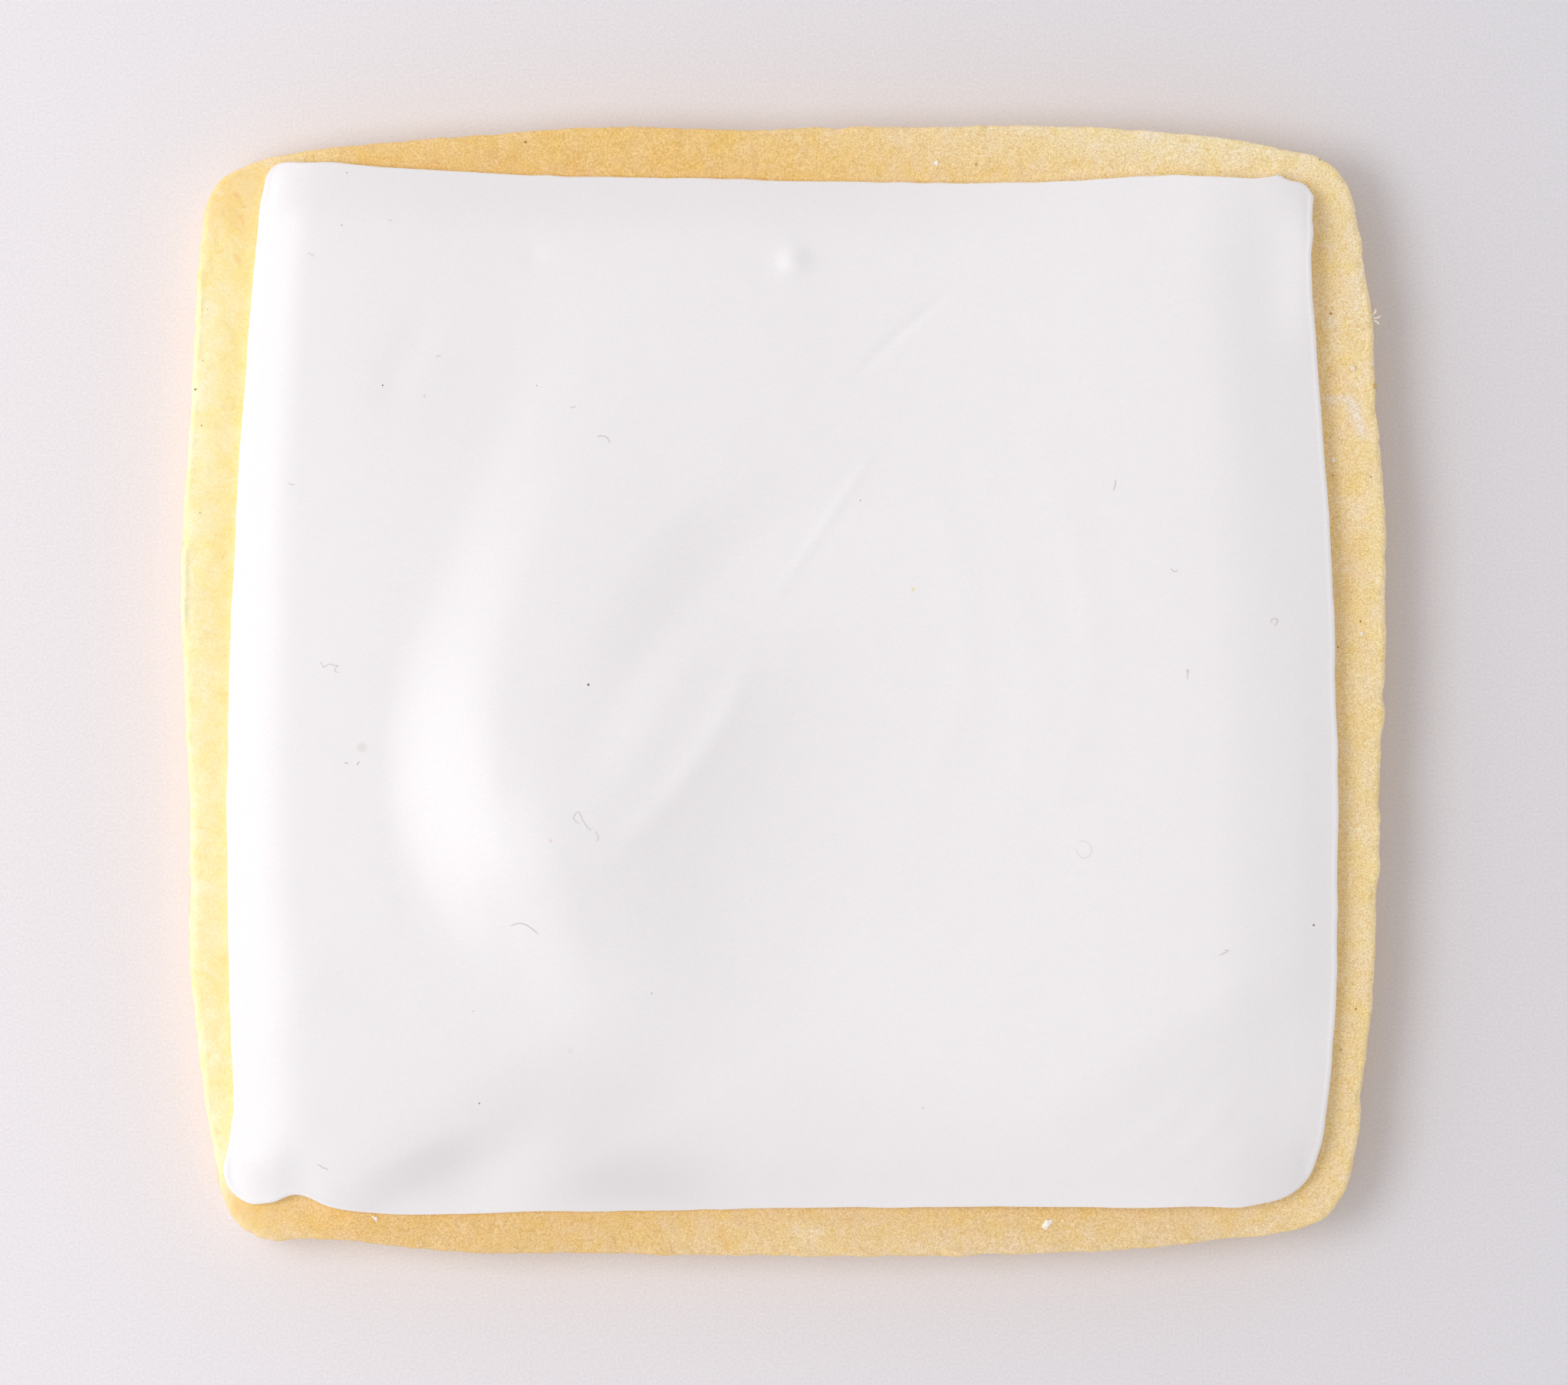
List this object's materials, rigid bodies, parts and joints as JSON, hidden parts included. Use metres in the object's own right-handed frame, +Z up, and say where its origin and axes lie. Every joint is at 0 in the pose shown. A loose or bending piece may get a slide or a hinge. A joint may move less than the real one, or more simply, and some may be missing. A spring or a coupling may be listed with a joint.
{
  "type": "iced sugar cookie",
  "caption": "Square cut-out sugar cookie with bulging sides, soft edges and one layer of smooth white icing on top.",
  "frame": {"origin": "under the middle of the biscuit's outline, on the surface that it lies on", "axes": "+Z up through the icing, +X towards the cookie's right side, +Y towards its upper side"},
  "size_m": [0.08, 0.075, 0.0079],
  "materials": {
    "biscuit": "matt, pale golden, fine open crumb",
    "icing": "smooth, white, satin"
  },
  "bodies": {
    "root": {"biscuit": "biscuit", "icing": "icing"}
  },
  "joints": []
}
